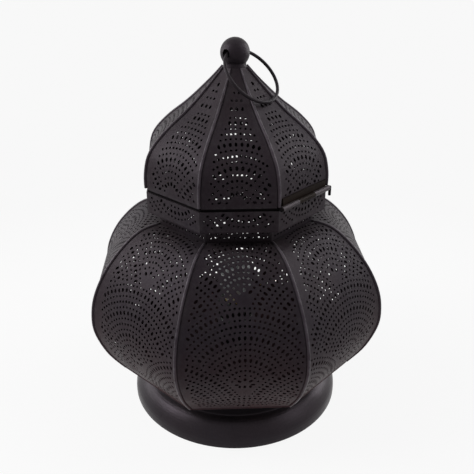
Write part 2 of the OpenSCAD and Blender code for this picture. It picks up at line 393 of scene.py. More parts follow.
@dataclass(frozen=True)
class PowderCoat(Finish):
    """Matte black powder coat, warmer in patches, with a second colour past a height and worn paint at the
    edges.

    Attributes:
        tint: linear colour of the warmer patches.
        tint_share: how much the patches show.
        height_tint_and_shade: linear colour the coat turns to past a height: lighter and browner towards the
            bottom of the body, and near-black painted shade on the foot's throat under the body.
        warm_from: height at which it starts, and height at which it is full, in metres.
        warm_least: share of it in the patches that have least.
        warm_rough: how much rougher the coat is there.
        rubbed_and_highlight: linear colour of worn edges, and on the seam beads' crowns of a painted
            highlight.
        wear: how much the edges are worn.
        rings: depth of spinning marks, or 0.
        ring_gap: distance between them in metres.
        shine: the specular level.
        sheen_tint: linear tint of what the coat reflects.
        grain: size of the sprayed grain in metres.
        relief: height of the grain in metres.
        dust: how much dust lies on what faces up.
    """

    tint: Rgb = (0.0185, 0.0130, 0.0148)
    tint_share: float = 0.7
    height_tint_and_shade: Rgb = (0.0310, 0.0130, 0.0140)
    warm_from: tuple[float, float] = (0.100, 0.042)
    warm_least: float = 0.35
    warm_rough: float = 0.0
    rubbed_and_highlight: Rgb = (0.045, 0.040, 0.043)
    wear: float = 0.5
    rings: float = 0.0
    ring_gap: float = 0.0011
    shine: float = 0.10
    sheen_tint: Rgb = (1.0, 0.84, 0.99)
    grain: float = 0.0006
    relief: float = 0.00007
    dust: float = 0.18

    def dress(self, tree: Tree, place: Socket, shader: bpy.types.Node) -> None:
        """See Finish.dress."""
        coat = self.use(tree, "grain", {
            "Vector": place, "Colour": colour(self.colour), "Tint": colour(self.tint),
            "Tint Share": self.tint_share, "Roughness": self.roughness, "Grain Size": self.grain})
        # Past the given heights the colour turns to a second one: lighter and browner towards the bottom of
        # the body, and near-black painted shade on the foot's throat under the body.
        low = tree.remap(tree.add("SeparateXYZ", {0: place}).outputs[2], *self.warm_from)
        patchy = tree.remap(tree.noise(place, *Noise.STAINS.value), 0.3, 0.6, self.warm_least, 1.0)
        height_tinted_and_shaded = tree.mix(tree.math("MULTIPLY", low, patchy), coat["Colour"], colour(self.height_tint_and_shade))
        rougher = tree.math("ADD", coat["Roughness"], tree.math("MULTIPLY", low, self.warm_rough), clamp=True)
        edge = tree.add("Attribute", attribute_name="edge").outputs["Fac"]
        worn = self.use(tree, "wear", {
            "Vector": place, "Colour": height_tinted_and_shaded, "Rubbed And Highlight": colour(self.rubbed_and_highlight),
            "Edge": edge, "Amount": self.wear, "Roughness": rougher})
        dusty = self.use(tree, "dust", {"Vector": place, "Colour": worn["Colour"], "Amount": self.dust})
        tree.feed(shader.inputs["Base Color"], dusty["Colour"])
        tree.feed(shader.inputs["Roughness"], worn["Roughness"])
        shader.inputs["Specular IOR Level"].default_value = self.shine
        shader.inputs["Specular Tint"].default_value = colour(self.sheen_tint)
        height = coat["Height"]
        if self.rings:
            marks = self.use(tree, "lathe", {"Vector": place, "Spacing": self.ring_gap, "Depth": self.rings})
            height = tree.math("ADD", height, marks["Height"])
        self.bump(tree, shader, height, self.relief)


@dataclass(frozen=True)
class Metal(Finish):
    """Bare metal with fine turning or brushing marks and a little tarnish.

    Attributes:
        tarnish: linear colour of the dull patches.
        dulling: how much rougher they are.
        spacing: distance between the marks in metres.
        relief: height of the marks in metres.
    """

    tarnish: Rgb = (0.2, 0.2, 0.2)
    dulling: float = 0.25
    spacing: float = 0.0004
    relief: float = 0.00003

    def dress(self, tree: Tree, place: Socket, shader: bpy.types.Node) -> None:
        """See Finish.dress."""
        marks = self.use(tree, "lathe", {"Vector": place, "Spacing": self.spacing, "Depth": 1.0})
        patches = tree.remap(tree.noise(place, *Noise.TARNISH.value), 0.45, 0.7)
        tree.feed(shader.inputs["Base Color"], tree.mix(patches, colour(self.colour), colour(self.tarnish)))
        rougher = tree.math("MULTIPLY", patches, self.dulling)
        uneven = tree.math("ADD", rougher, tree.remap(marks["Value"], *SPAN, -0.05, 0.05))
        tree.feed(shader.inputs["Roughness"], tree.math("ADD", uneven, self.roughness, clamp=True))
        shader.inputs["Metallic"].default_value = 1.0
        self.bump(tree, shader, marks["Height"], self.relief)


@dataclass(frozen=True)
class Moulded(Finish):
    """Moulded plastic or glazed ceramic with a slightly uneven skin.

    Attributes:
        deeper: brightness of its darker patches, as a share of the colour's.
        grain: size of the unevenness in metres.
        relief: height of the unevenness in metres.
    """

    deeper: float = 0.8
    grain: float = 0.002
    relief: float = 0.00004

    def dress(self, tree: Tree, place: Socket, shader: bpy.types.Node) -> None:
        """See Finish.dress."""
        tint = colour(tuple(self.deeper * v for v in self.colour))
        coat = self.use(tree, "grain", {
            "Vector": place, "Colour": colour(self.colour), "Tint": tint,
            "Tint Share": 0.6, "Roughness": self.roughness, "Grain Size": self.grain})
        tree.feed(shader.inputs["Base Color"], coat["Colour"])
        tree.feed(shader.inputs["Roughness"], coat["Roughness"])
        self.bump(tree, shader, coat["Height"], self.relief)


@dataclass(frozen=True)
class Felt(Finish):
    """Felt with matted fibres.

    Attributes:
        paler: brightness of the raised nap, as a multiple of the colour's.
        fibres: how many fibres lie in a metre.
        fuzz: weight of the sheen on the nap.
        relief: height of the nap in metres.
    """

    paler: float = 2.2
    fibres: float = 1900.0
    fuzz: float = 0.3
    relief: float = 0.0004

    def dress(self, tree: Tree, place: Socket, shader: bpy.types.Node) -> None:
        """See Finish.dress."""
        voronoi = tree.add("TexVoronoi", {"Vector": place, "Scale": self.fibres}, feature="DISTANCE_TO_EDGE")
        cells = voronoi.outputs[0]
        nap = tree.noise(place, *Noise.NAP.value)
        pale = colour(tuple(self.paler * v for v in self.colour))
        raised = tree.remap(nap, 0.35, 0.7)
        tree.feed(shader.inputs["Base Color"], tree.mix(raised, colour(self.colour), pale))
        matted = tree.remap(cells, 0.0, 0.3, self.roughness - 0.1, self.roughness)
        tree.feed(shader.inputs["Roughness"], matted)
        shader.inputs["Sheen Weight"].default_value = self.fuzz
        self.bump(tree, shader, tree.math("ADD", nap, cells), self.relief)


@dataclass(frozen=True)
class Glass(Finish):
    """Clear blown glass.

    Attributes:
        clearer: linear colour of its clearer parts.
        smears: how much rougher it is where it is smeared.
        bending: index of refraction.
    """

    clearer: Rgb = (0.90, 0.91, 0.91)
    smears: float = 0.04
    bending: float = 1.45

    def dress(self, tree: Tree, place: Socket, shader: bpy.types.Node) -> None:
        """See Finish.dress."""
        ripples = tree.remap(tree.noise(place, *Noise.RIPPLES.value), *SPAN)
        tree.feed(shader.inputs["Base Color"], tree.mix(ripples, colour(self.colour), colour(self.clearer)))
        smeared = tree.noise(place, *Noise.SMEARS.value)
        tree.feed(shader.inputs["Roughness"],
                  tree.remap(smeared, 0.35, 0.75, self.roughness, self.roughness + self.smears))
        shader.inputs["Transmission Weight"].default_value = 1.0
        shader.inputs["IOR"].default_value = self.bending

SHEET_COAT = PowderCoat("powder_coat_sheet", (0.0150, 0.0114, 0.0150), 0.50, "black_sheet")
SPUN_COAT = PowderCoat("powder_coat_spun", (0.0140, 0.0114, 0.0140), 0.42, "black_spun", tint_share=0.4,
                       wear=0.2, rings=0.9, shine=0.11)
# Lighter than the sheet coat, with fully worn pale crowns: partly worn paint, partly a painted highlight
# along the seam beads.
BEAD_COAT = PowderCoat("powder_coat_bead", (0.0240, 0.0190, 0.0240), 0.42, "black_sheet",
                       rubbed_and_highlight=(0.085, 0.074, 0.085), wear=1.0, shine=0.16)
RING_COAT = PowderCoat("powder_coat_wire", (0.0120, 0.0108, 0.0122), 0.44, "black_spun", tint_share=0.3)
# On the foot, from about 18 mm up, the throat under the body turns near-black and rougher: painted shade.
FOOT_COAT = PowderCoat("powder_coat_foot", (0.0135, 0.0112, 0.0132), 0.33, "black_spun", tint_share=0.4,
                       height_tint_and_shade=(0.0012, 0.0010, 0.0011), warm_from=(0.0172, 0.0190), warm_least=1.0,
                       warm_rough=0.6, wear=0.2, rings=0.9, shine=0.17)
# Lighter than the sheet coat: partly worn paint on the hinge, partly a painted highlight of the barrel
# catching light.
HINGE_COAT = PowderCoat("worn_hinge_highlight_coat", (0.0310, 0.0262, 0.0300), 0.40, "hinge_steel",
                        tint=(0.025, 0.019, 0.017), tint_share=0.5, wear=0.8, shine=0.2)
# Brown coat of the lid's hinge leaf, darkened to paint the shade above the hinge barrel.
LEAF_COAT = PowderCoat("dark_brown_leaf_shade_coat", (0.0052, 0.0036, 0.0030), 0.50, "hinge_steel",
                       tint=(0.010, 0.006, 0.004), wear=0.2, shine=0.05, sheen_tint=(1.0, 0.8, 0.7))
# Near-black coat that paints shade: on the lip seen through the gap under the lid, and on the hinge pin.
PAINTED_SHADE_COAT = PowderCoat("painted_shade_coat", (0.0030, 0.0026, 0.0028), 0.60, "hinge_steel",
                        tint=(0.003, 0.0026, 0.0026), height_tint_and_shade=(0.0030, 0.0026, 0.0028),
                        rubbed_and_highlight=(0.008, 0.007, 0.007), wear=0.3, shine=0.04)
ZINC = Metal("zinc_plate", (0.60, 0.60, 0.61), 0.32, "zinc_steel", tarnish=(0.38, 0.38, 0.37))
BRASS = Metal("plain_brass", (0.72, 0.53, 0.25), 0.26, "brass", tarnish=(0.38, 0.26, 0.12))
TUNGSTEN = Metal("filament", (0.30, 0.29, 0.28), 0.45, "zinc_steel", tarnish=(0.16, 0.15, 0.15))
PHENOLIC = Moulded("black_phenolic", (0.022, 0.021, 0.021), 0.28, "black_phenolic")
CERAMIC = Moulded("glazed_ceramic", (0.78, 0.76, 0.70), 0.18, "white_ceramic")
NYLON = Moulded("black_nylon", (0.020, 0.020, 0.021), 0.55, "black_bush", grain=0.0008)
BLACK_FELT = Felt("black_felt", (0.018, 0.018, 0.019), 0.98, "felt")
BULB_GLASS = Glass("clear_glass", (0.86, 0.88, 0.88), 0.01, "clear_glass")


# ---------------------------------------------------------------- mesh helpers


@dataclass
class Shape:
    """A mesh being built, as arrays of points, faces, corner normals and edge marks.

    Attributes:
        points: rows of x, y, z.
        faces: corners of each face, anticlockwise from outside.
        normals: one normal for each corner of each face, in order.
        edge: how near each point is to a worn edge, from 0 to 1. On the seam beads it marks the crown, which
            gets a painted highlight.
    """

    points: np.ndarray
    faces: list[tuple[int, ...]]
    normals: np.ndarray | None = None
    edge: np.ndarray | None = None

    def turned(self, angle: float) -> "Shape":
        """Turns the shape about the Z axis.

        Args:
            angle: in radians, anticlockwise from above.

        Returns:
            The turned shape.
        """
        c, s = math.cos(angle), math.sin(angle)
        turn = np.array([[c, s, 0], [-s, c, 0], [0, 0, 1]])
        normals = None if self.normals is None else self.normals @ turn
        return Shape(self.points @ turn, self.faces, normals, self.edge)

    @staticmethod
    def both(a: np.ndarray | None, b: np.ndarray | None) -> np.ndarray | None:
        """Two arrays as one, or None where either is missing."""
        return None if a is None or b is None else np.concatenate([a, b])

    def joined(self, other: "Shape") -> "Shape":
        """This shape and another as one.

        Args:
            other: a shape with the same kinds of data.

        Returns:
            The new shape.
        """
        n = len(self.points)
        faces = self.faces + [tuple(i + n for i in face) for face in other.faces]
        return Shape(np.vstack([self.points, other.points]), faces,
                     self.both(self.normals, other.normals), self.both(self.edge, other.edge))

    def object(self, name: str, finish: Finish, body: Body, *nodes: str) -> bpy.types.Object:
        """Makes the object, dresses it and lets it ride its body.

        Args:
            name: the piece's name.
            finish: its finish.
            body: what it moves with.
            nodes: the CAD nodes that it stands for.

        Returns:
            The object.
        """
        mesh = bpy.data.meshes.new(name)
        mesh.from_pydata(self.points.tolist(), [], self.faces)
        mesh.polygons.foreach_set("use_smooth", np.ones(len(self.faces), bool))
        if self.edge is not None:
            mark = mesh.attributes.new("edge", "FLOAT", "POINT")
            mark.data.foreach_set("value", self.edge.astype(np.float32))
        if self.normals is not None:
            mesh.normals_split_custom_set(self.normals.tolist())
        mesh.materials.append(finish.material())
        made = bpy.data.objects.new(name, mesh)
        bpy.context.scene.collection.objects.link(made)
        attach(made, body.value)
        if nodes:
            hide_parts(*nodes)
        LOG.info("%s: %d faces, %s, on the %s", name, len(self.faces), finish.name, body.value)
        return made


def around(count: int) -> np.ndarray:
    """Angles that divide a circle evenly, in radians."""
    return np.arange(count) * 2 * math.pi / count


def to_front(curve: np.ndarray) -> np.ndarray:
    """Points or directions, given as distance from the axis and height, set in the plane that faces -Y."""
    return np.stack([0 * curve[:, 0], -curve[:, 0], curve[:, 1]], 1)


def swept(path: np.ndarray, across: np.ndarray, up: np.ndarray, section: np.ndarray,
          closed: bool = False) -> Shape:
    """Sweeps a closed section along a path.

    Args:
        path: points of the path.
        across: unit vector of the section's first coordinate, one for each path point.
        up: unit vector of its second coordinate, one for each path point.
        section: points of the section, anticlockwise seen against the path's direction.
        closed: whether the path's end meets its start.

    Returns:
        The swept shape, with flat ends where it isn't closed.
    """
    n, m = len(path), len(section)
    flat = section[None, :, :1] * across[:, None]
    points = (path[:, None] + flat + section[None, :, 1:] * up[:, None]).reshape(-1, 3)
    faces = []
    for i in range(n if closed else n - 1):
        a, b = i * m, (i + 1) % n * m
        faces += [(a + k, a + (k + 1) % m, b + (k + 1) % m, b + k) for k in range(m)]
    if not closed:
        faces += [tuple(range(m - 1, -1, -1)), tuple(range((n - 1) * m, n * m))]
    return Shape(points, faces)


def revolved(section: list[tuple[float, float]], angles: np.ndarray) -> Shape:
    """Turns a closed section about the Z axis.

    Args:
        section: its points as distance from the axis and height.
        angles: where the ring has its corners, in radians from +X.

    Returns:
        The ring.
    """
    outward = np.stack([np.cos(angles), np.sin(angles), 0 * angles], 1)
    rising = np.tile(UP, (len(angles), 1))
    return swept(np.zeros((len(angles), 3)), outward, rising, np.array(section), closed=True)


def sharpened(piece: bpy.types.Object, angle: float = 40.0) -> None:
    """Gives a smooth piece sharp edges past an angle in degrees."""
    piece.data.set_sharp_from_angle(angle=math.radians(angle))


def dress_node(name: str, finish: Finish, bevel: float = 0.0, past: float = 35.0) -> None:
    """Gives a CAD node its finish, and softens its edges where asked.

    Args:
        name: the node.
        finish: its finish.
        bevel: width of the softened edges in metres, or 0.
        past: the least angle of an edge that is softened, in degrees.
    """
    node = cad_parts[name]
    node.data.materials.clear()
    node.data.materials.append(finish.material())
    if bevel:
        soft = node.modifiers.new("softened", "BEVEL")
        soft.width, soft.segments, soft.limit_method = bevel, 2, "ANGLE"
        soft.angle_limit = math.radians(past)
        soft.harden_normals = False
    LOG.info("%s: %s", name, finish.name)


# ------------------------------------------------------------- curves and fans


@dataclass(frozen=True)
class SideCurve:
    """The body's or lid's outline seen from the side, along a seam and along a panel's middle.

    Attributes:
        shares: points as shares of the radius and height.
        radius: radius across the corners.
        height: height of the panels.
        base: height of their lower edge.
        steps: points of the fine curve between two given ones.
    """

    shares: tuple[tuple[float, float], ...]
    radius: float
    height: float
    base: float
    steps: int = 14

    def seam(self) -> np.ndarray:
        """Draws the smooth curve along a seam through the given points.

        Returns:
            Its points as distance from the axis and height.
        """
        given = np.array(self.shares) * [self.radius, self.height] + [0, self.base]
        given = np.vstack([given[0], given, given[-1]])
        t = np.arange(self.steps)[:, None] / self.steps
        pieces = []
        for a, b, c, d in zip(given, given[1:], given[2:], given[3:]):
            pieces.append(0.5 * (2 * b + (c - a) * t + (2 * a - 5 * b + 4 * c - d) * t * t
                                 + (3 * b - a - 3 * c + d) * t ** 3))
        return np.vstack([*pieces, given[-1:]])

    def side(self) -> np.ndarray:
        """Points of the curve along the middle of a panel."""
        return self.seam() * [FLAT, 1]

    @staticmethod
    def lengths(curve: np.ndarray) -> np.ndarray:
        """Distance along a curve at each of its points."""
        return np.r_[0, np.cumsum(np.hypot(*np.diff(curve, axis=0).T))]

    @staticmethod
    def outward(curve: np.ndarray) -> np.ndarray:
        """Finds the outward direction at each point of a curve.

        Args:
            curve: its points as distance from the axis and height.

        Returns:
            A unit vector for each point.
        """
        along = np.gradient(curve, axis=0)
        along /= np.linalg.norm(along, axis=1)[:, None]
        return np.stack([along[:, 1], -along[:, 0]], 1)


class Dot(Enum):
    """Sizes of the holes: width along the arc, depth across it, pitch, and corners."""

    LARGE = (1.80 * MM, 2.85 * MM, 3.30 * MM, 10)
    MEDIUM = (1.65 * MM, 1.75 * MM, 2.65 * MM, 8)
    SMALL = (1.50 * MM, 1.50 * MM, 2.90 * MM, 8)


Hole = tuple[float, float, float, Dot]    # across, along, direction of its depth in radians, and size


@dataclass(frozen=True)
class Blank:
    """How a panel was cut from its pierced sheet, which differs a little from panel to panel.

    Attributes:
        across: how far the pattern lies to the right, in millimetres.
        along: how far it lies up the panel, in millimetres.
        window: how far the pierced field lies to the right, in millimetres.
        lean: how much further right the field lies for each unit up the panel, from FlatSheet.lean_from.
    """

    across: float
    along: float
    window: float
    lean: float = 0.0


@dataclass(frozen=True)
class Row:
    """A short straight row of holes that stands alone.

    Attributes:
        along: how far it lies up the panel, in millimetres.
        count: how many holes it has.
        pitch: distance between them, in millimetres.
        dot: their size.
        follow: how much of a blank's shift it follows.
    """

    along: float
    count: int
    pitch: float
    dot: Dot
    follow: float = 1.0

    def holes(self, blank: Blank) -> list[Hole]:
        """Holes of the row on a panel.

        Args:
            blank: where the pattern lies on the panel.

        Returns:
            The holes, from left to right.
        """
        first = blank.across * self.follow
        y = (self.along + blank.along) * MM
        steps = [(i - (self.count - 1) / 2) * self.pitch for i in range(self.count)]
        return [((first + step) * MM, y, math.pi / 2, self.dot) for step in steps]


@dataclass(frozen=True)
class Fans:
    """Rows of overlapping fans of pierced arcs. Each row hides the lower part of the fans above it.

    Attributes:
        rows: how far a row's fans stand from the middle, and their height, from the lowest row up.
        outer: radius of a fan's outermost arc.
        step: distance between its arcs.
        plain: width of the plain band round a fan.
        cycle: the sizes of hole from the outermost arc inwards, over and over.
        alone: short rows of holes in the plain places between the fans.
    """

    rows: tuple[tuple[float, float], ...]
    outer: float = 49.7
    step: float = 3.45
    plain: float = 1.9
    cycle: tuple[Dot, ...] = (Dot.SMALL, Dot.LARGE, Dot.SMALL, Dot.MEDIUM)
    alone: tuple[Row, ...] = ()

    def centres(self) -> list[tuple[float, float, int]]:
        """Centres of the fans as across, along and row, in millimetres."""
        return [(x, y, row) for row, (away, y) in enumerate(self.rows) for x in sorted({-away, away})]

    def holes(self, blank: Blank) -> list[Hole]:
        """Holes of the fans, before they are cut to a panel.

        Args:
            blank: where the pattern lies on the panel.

        Returns:
            The holes, fan by fan and arc by arc.
        """
        found = []
        fans = self.centres()
        for cx, cy, row in fans:
            nearer = np.array([(x, y) for x, y, r in fans if r < row]).reshape(-1, 2)
            for k in range(int(self.outer / self.step)):
                radius, dot = self.outer - k * self.step, self.cycle[k % len(self.cycle)]
                count = max(2, 2 * round(math.pi * radius * MM / dot.value[2] / 2))
                for i in range(count + 1):
                    a = math.pi * i / count
                    x, y = cx + radius * math.cos(a), cy + radius * math.sin(a)
                    away = np.hypot(nearer[:, 0] - x, nearer[:, 1] - y)
                    if not (away < self.outer + self.plain).any():
                        found.append(((x + blank.across) * MM, (y + blank.along) * MM, a, dot))
        return found


@dataclass(frozen=True)
class FlatSheet:
    """A flat sheet with holes, given by its half width along its length.

    Attributes:
        along: distances along the sheet, rising.
        half: half width at each.
        margin: plain band at the sides.
        low: plain band at the lower edge.
        high: plain band at the upper edge.
        window: how far the pierced field lies to the right.
        lean: how much further right it lies for each unit up the sheet, from lean_from.
        lean_from: distance along the sheet at which a leaning field isn't moved.
        rim: plain band that is kept at the sides however far the field lies over.
        uneven_size: least and greatest size of a hole as a share of its own.
        uneven_place: how far a hole may lie off its place, in millimetres.
        seed: of the unevenness.
        edge_step: greatest distance between points on the lower and upper edges.
        gap: distance between the points that divide the plain parts.
        gap_row: distance between the rows of such points, as a share of the gap.
        gap_side: how far they keep from the sides, as a share of the gap.
        gap_hole: how far they keep from holes and edges, as a share of the gap.
    """

    along: np.ndarray
    half: np.ndarray
    margin: float
    low: float
    high: float
    window: float = 0.0
    lean: float = 0.0
    lean_from: float = 75 * MM
    rim: float = 1.3 * MM
    uneven_size: tuple[float, float] = (0.92, 1.06)
    uneven_place: float = 0.1
    seed: int = 7
    edge_step: float = 4 * MM
    gap: float = 2.6 * MM
    gap_row: float = 0.87
    gap_side: float = 0.6
    gap_hole: float = 0.5

    def kept(self, holes: list[Hole]) -> list[Hole]:
        """Picks the holes that lie inside the plain bands.

        Args:
            holes: a pattern that may reach past the sheet.

        Returns:
            Those that are pierced.
        """
        found = []
        for x, y, a, dot in holes:
            half = np.interp(y, self.along, self.half)
            middle = self.window + self.lean * (y - self.lean_from)
            inside = abs(x - middle) < half - self.margin and abs(x) < half - self.rim
            if inside and self.along[0] + self.low < y < self.along[-1] - self.high:
                found.append((x, y, a, dot))
        return found

    def between(self, a: np.ndarray, b: np.ndarray) -> np.ndarray:
        """Points that divide a straight edge, without its ends a and b."""
        count = max(3, int(np.hypot(*(b - a)) / self.edge_step))
        return a + (b - a) * np.linspace(0, 1, count)[1:-1, None]

    def outline(self) -> np.ndarray:
        """Points of the sheet's outline, anticlockwise from its lower right corner.

        Returns:
            The points as across and along.
        """
        right = np.stack([self.half, self.along], 1)
        left = np.stack([-self.half, self.along], 1)[::-1]
        return np.vstack([right, self.between(right[-1], left[0]), left, self.between(left[-1], right[0])])

    def rings(self, holes: list[Hole]) -> list[np.ndarray]:
        """Draws the outlines of the sheet and of its holes, which are a little uneven.

        Args:
            holes: the holes to leave open.

        Returns:
            The sheet's outline, and then each hole's.
        """
        found = [self.outline()]
        uneven = np.random.default_rng(self.seed)
        for x, y, a, dot in holes:
            wide, deep = dot.value[:2] * uneven.uniform(*self.uneven_size, 2)
            x, y = (x, y) + uneven.uniform(-self.uneven_place, self.uneven_place, 2) * MM
            turn = around(dot.value[3]) + math.pi / dot.value[3]
            u, v = deep / 2 * np.cos(turn), wide / 2 * np.sin(turn)
            c, s = math.cos(a), math.sin(a)
            found.append(np.stack([x + u * c - v * s, y + u * s + v * c], 1))
        return found

    def cut(self, holes: list[Hole]) -> tuple[np.ndarray, list[Face], list[list[int]], list[int]]:
        """Divides the sheet into triangles, with its holes left open.

        Args:
            holes: the holes to leave open.

        Returns:
            The points, the triangles, each hole's ring of points and the outline's.
        """
        rings = self.rings(holes)
        fill = self.filling(rings)
        owner = np.concatenate([np.full(len(r), i) for i, r in enumerate(rings)] + [np.full(len(fill), -1)])
        starts = np.cumsum([0] + [len(r) for r in rings]).tolist()
        edges = [(s + i, s + (i + 1) % len(r)) for s, r in zip(starts, rings) for i in range(len(r))]
        found = delaunay_2d_cdt([Vector(p) for p in np.vstack([*rings, fill])], edges, [], 0, 1e-9, True)
        place = np.array([p[:] for p in found[0]])
        new = {old: i for i, olds in enumerate(found[3]) for old in olds}
        marks = np.full(len(place), -1)
        for old, i in new.items():
            marks[i] = owner[old]
        corners = np.array(found[2])
        marked = marks[corners]
        middle = place[corners].sum(1) / 3
        alike = (marked == marked[:, :1]).all(1)
        in_hole = alike & (marked[:, 0] > 0)
        beyond = np.abs(middle[:, 0]) > np.interp(middle[:, 1], self.along, self.half)
        outside = alike & (marked[:, 0] == 0) & beyond
        triangles = [tuple(face) for face in corners[~in_hole & ~outside].tolist()]
        loops = [[new[s + i] for i in range(len(r))] for s, r in zip(starts, rings)]
        return place, triangles, loops[1:], loops[0]

    def filling(self, rings: list[np.ndarray]) -> np.ndarray:
        """Places points that keep the plain parts evenly divided.

        Args:
            rings: the outline and the holes.

        Returns:
            Points about a gap apart and clear of the rings.
        """
        gap = self.gap
        taken = np.vstack(rings)
        found = []
        rows = np.arange(self.along[0] + gap, self.along[-1] - gap / 2, gap * self.gap_row)
        for k, y in enumerate(rows):
            half = np.interp(y, self.along, self.half) - gap * self.gap_side
            xs = np.arange(-half, half, gap) + (k % 2) * gap / 2
            for x in xs[np.abs(xs) < half]:
                if np.hypot(taken[:, 0] - x, taken[:, 1] - y).min() > gap * self.gap_hole:
                    found.append((x, y))
        return np.array(found).reshape(-1, 2)


def folded(sheet: FlatSheet, holes: list[Hole], curve: np.ndarray, thickness: float,
           hole_wear: float = 0.5) -> Shape:
    """Bends a pierced sheet along a curve, facing -Y, and gives it its thickness.

    Args:
        sheet: the flat sheet. Its distances run along the curve.
        holes: the holes to pierce.
        curve: distance from the axis and height, from which the sheet starts.
        thickness: of the metal, inwards from the curve.
        hole_wear: how worn the holes' edges are. The sheet's own edges are fully worn.

    Returns:
        The closed shape with its corner normals and its worn edges marked.
    """
    flat, triangles, rings, rim = sheet.cut(holes)
    lengths = SideCurve.lengths(curve)
    facing = SideCurve.outward(curve)
    radius, height = (np.interp(flat[:, 1], lengths, curve[:, k]) for k in (0, 1))
    out_r, out_z = (np.interp(flat[:, 1], lengths, facing[:, k]) for k in (0, 1))
    outside = np.stack([flat[:, 0], -radius, height], 1)
    normal = to_front(np.stack([out_r, out_z], 1))
    points = np.vstack([outside, outside - thickness * normal])
    n = len(flat)
    faces = triangles + [(c + n, b + n, a + n) for a, b, c in triangles]
    normals = [normal[i] for t in triangles for i in t] + [-normal[i] for t in triangles for i in reversed(t)]
    for ring in rings:
        inwards = outside[ring].mean(0) - outside[ring]
        inwards /= np.linalg.norm(inwards, axis=1)[:, None]
        for k, a in enumerate(ring):
            after = (k + 1) % len(ring)
            faces.append((a, ring[after], ring[after] + n, a + n))
            normals += [inwards[k], inwards[after], inwards[after], inwards[k]]
    for a, b in zip(rim, rim[1:] + rim[:1]):
        faces.append((b, a, a + n, b + n))
        sideways = np.cross(outside[b] - outside[a], normal[a])
        normals += [sideways / np.linalg.norm(sideways)] * 4
    edge = np.zeros(2 * n)
    for ring in rings:
        edge[ring] = hole_wear
    edge[rim] = 1.0
    return Shape(points, faces, np.array(normals), edge)


# ---------------------------------------------------------------- sub-assemblies


@dataclass
class PanelledShell:
    """Eight pierced panels round an axis, with a bead over each seam.

    Attributes:
        label: first word of the pieces' names.
        curve: the side outline.
        body: what the pieces move with.
        low: height at which the panels start.
        inner: distance from the axis at which the panels end.
        fans: the pierced pattern.
        blanks: how each panel was cut from it.
        margin: plain band at the seams.
        low_band: plain band at the lower edge.
        high_band: plain band at the upper edge.
        thickness: of the sheet.
        seam_w: width of the bead over a seam.
        seam_proud: how far the bead stands out.
        crease: width of the open groove on both sides of it.
        taper_r: distance from the axis inside which the bead narrows.
        taper_least: share of its full width that the bead keeps at the top.
        crown: height of the bead's rounded top.
        root: how far the bead reaches in behind the panels.
        close: the least distance between a panel's end and the next point of its curve.
    """

    label: str
    curve: SideCurve
    body: Body
    low: float
    inner: float
    fans: Fans
    blanks: tuple[Blank, ...]
    margin: float
    low_band: float
    high_band: float
    thickness: float = 0.8 * MM
    seam_w: float = 1.9 * MM
    seam_proud: float = 0.95 * MM
    crease: float = 0.33 * MM
    taper_r: float = 22 * MM
    taper_least: float = 0.55
    crown: float = 1.1 * MM
    root: float = 1.6 * MM
    close: float = 0.2 * MM

    def taper(self, radius: np.ndarray) -> np.ndarray:
        """Share of its full width that a bead has at each distance from the axis."""
        return np.clip(radius / self.taper_r, self.taper_least, 1.0)

    def sheet(self, blank: Blank) -> tuple[FlatSheet, np.ndarray]:
        """Lays a panel out flat.

        Args:
            blank: how it was cut.

        Returns:
            The flat panel, and the curve that it is bent along.
        """
        side = self.curve.side()
        lengths = SideCurve.lengths(side)
        widest = side[:, 0].argmax()
        start = np.interp(self.low, side[:, 1], lengths)
        end = np.interp(-self.inner, -side[widest:, 0], lengths[widest:])
        inside = (lengths > start + self.close) & (lengths < end - self.close)
        along = np.r_[start, lengths[inside], end]
        radius = np.interp(along, lengths, side[:, 0])
        short = (self.seam_w / 2 + self.crease) / FLAT
        half = radius * math.tan(HALF) - short * self.taper(radius)
        return FlatSheet(along, half, self.margin - short, self.low_band, self.high_band,
                         blank.window * MM, blank.lean), side

    def panels(self) -> None:
        """Builds the eight pierced panels."""
        for i, blank in enumerate(self.blanks):
            sheet, side = self.sheet(blank)
            holes = sheet.kept(self.fans.holes(blank))
            holes += [hole for row in self.fans.alone for hole in row.holes(blank)]
            name = f"{self.label}_panel_{i + 1}"
            LOG.info("%s: %d holes", name, len(holes))
            panel = folded(sheet, holes, side, self.thickness).turned(i * TURN)
            panel.object("pierced_" + name, SHEET_COAT, self.body, name)

    def seams(self, every: int = 3, corners: int = 13) -> None:
        """Builds the bead over each seam.

        Args:
            every: which points of the fine side curve the bead takes.
            corners: how many points its rounded top has.
        """
        seam = self.curve.seam()
        facing = SideCurve.outward(seam)
        keep = (seam[:, 1] >= self.low) & (seam[:, 0] >= self.inner / FLAT)
        seam, facing = seam[keep][::every], facing[keep][::every]
        across = np.outer(self.taper(seam[:, 0]), RIGHT)
        t = np.linspace(0, math.pi, corners)
        half = self.seam_w / 2
        top = np.stack([half * np.cos(t), self.seam_proud + self.crown * (np.sin(t) - 1)], 1)
        section = np.vstack([top, [(-half, -self.root), (half, -self.root)]])
        bead = swept(to_front(seam), across, to_front(facing), section)
        # The crown is marked fully as a worn edge, which gives a pale line along the bead's top: partly worn
        # paint, partly a painted highlight.
        bead.edge = np.tile(np.r_[np.sin(t) ** 3, 0, 0], len(seam))
        for i in range(SIDES):
            sharpened(bead.turned(i * TURN + HALF).object(
                f"{self.label}_seam_bead_{i + 1}", BEAD_COAT, self.body, f"{self.label}_rib_{i + 1}"))

    def build(self) -> None:
        """Builds the panels and the beads."""
        self.panels()
        self.seams()


